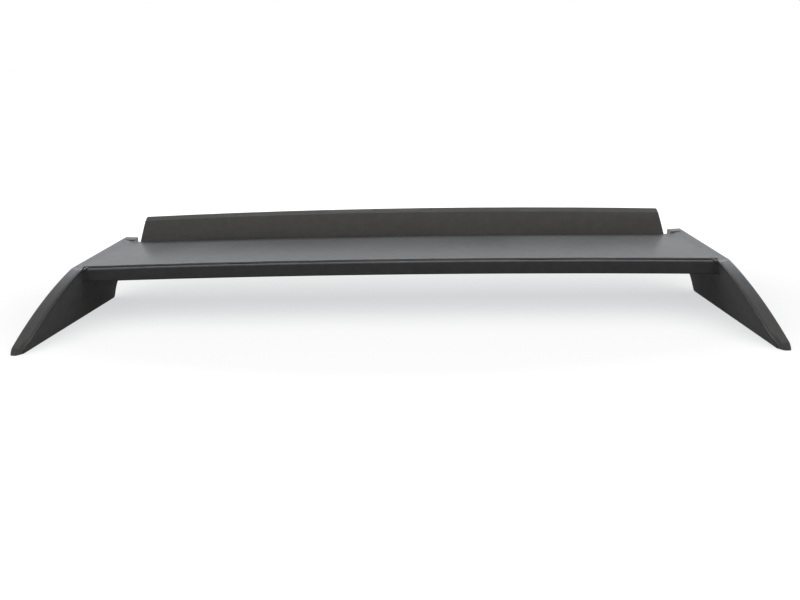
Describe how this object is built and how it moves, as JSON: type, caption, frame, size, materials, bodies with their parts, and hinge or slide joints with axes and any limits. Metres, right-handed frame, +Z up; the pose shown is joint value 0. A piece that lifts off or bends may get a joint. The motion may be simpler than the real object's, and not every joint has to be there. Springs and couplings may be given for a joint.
{
  "type": "rear spoiler",
  "caption": "Boot-lid spoiler: a wide hollow wing carried on two leaning side legs with stepped front rims, and a raised flap screwed along its rear edge.",
  "frame": {"origin": "midway between the two rear fixings, on the plane the legs stand on", "axes": "+X across the car to its right as the picture shows it, +Y to the rear, +Z up"},
  "size_m": [1.2992, 0.3644, 0.1688],
  "materials": {
    "black_plastic": "satin black moulded plastic",
    "black_steel": "black coated steel",
    "brass": "plain turned brass"
  },
  "bodies": {
    "root": {"upper_skin": "black_plastic", "lower_skin": "black_plastic", "rear_flap": "black_plastic", "flap_inserts": "brass", "flap_screws": "black_steel", "leg_inserts": "brass"}
  },
  "joints": []
}
